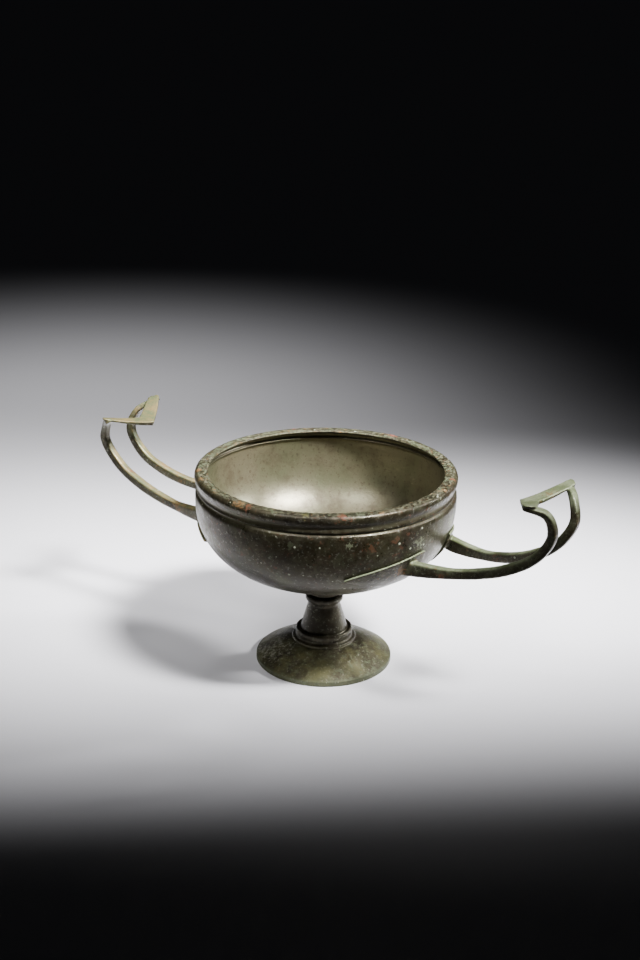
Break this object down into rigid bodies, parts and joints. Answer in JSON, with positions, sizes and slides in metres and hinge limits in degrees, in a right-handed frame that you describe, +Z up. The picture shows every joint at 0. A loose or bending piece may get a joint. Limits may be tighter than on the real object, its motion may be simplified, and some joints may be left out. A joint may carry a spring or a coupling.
{
  "type": "kylix cup",
  "caption": "Bronze kylix: a deep round drinking bowl with a heavy moulded rim on a stemmed foot, with upswept forked handles at its sides, dark green-brown patina.",
  "frame": {"origin": "On the table, in the middle of the cup's box: the foot rests on Z = 0.", "axes": "Z up; X along the two handles, the green right handle toward +X; Y across, the side first seen toward -Y."},
  "size_m": [0.282, 0.14, 0.1262],
  "materials": {
    "bowl_bronze": "patinated bronze, dark olive brown, satin",
    "foot_bronze": "patinated bronze, dark with yellow-green mottling",
    "handle_bronze_green": "patinated bronze, pale sage green",
    "handle_bronze_brown": "patinated bronze, olive brown"
  },
  "bodies": {
    "root": {"bowl": "bowl_bronze", "foot": "foot_bronze", "handle_right": "handle_bronze_green", "handle_left": "handle_bronze_brown"}
  },
  "joints": []
}
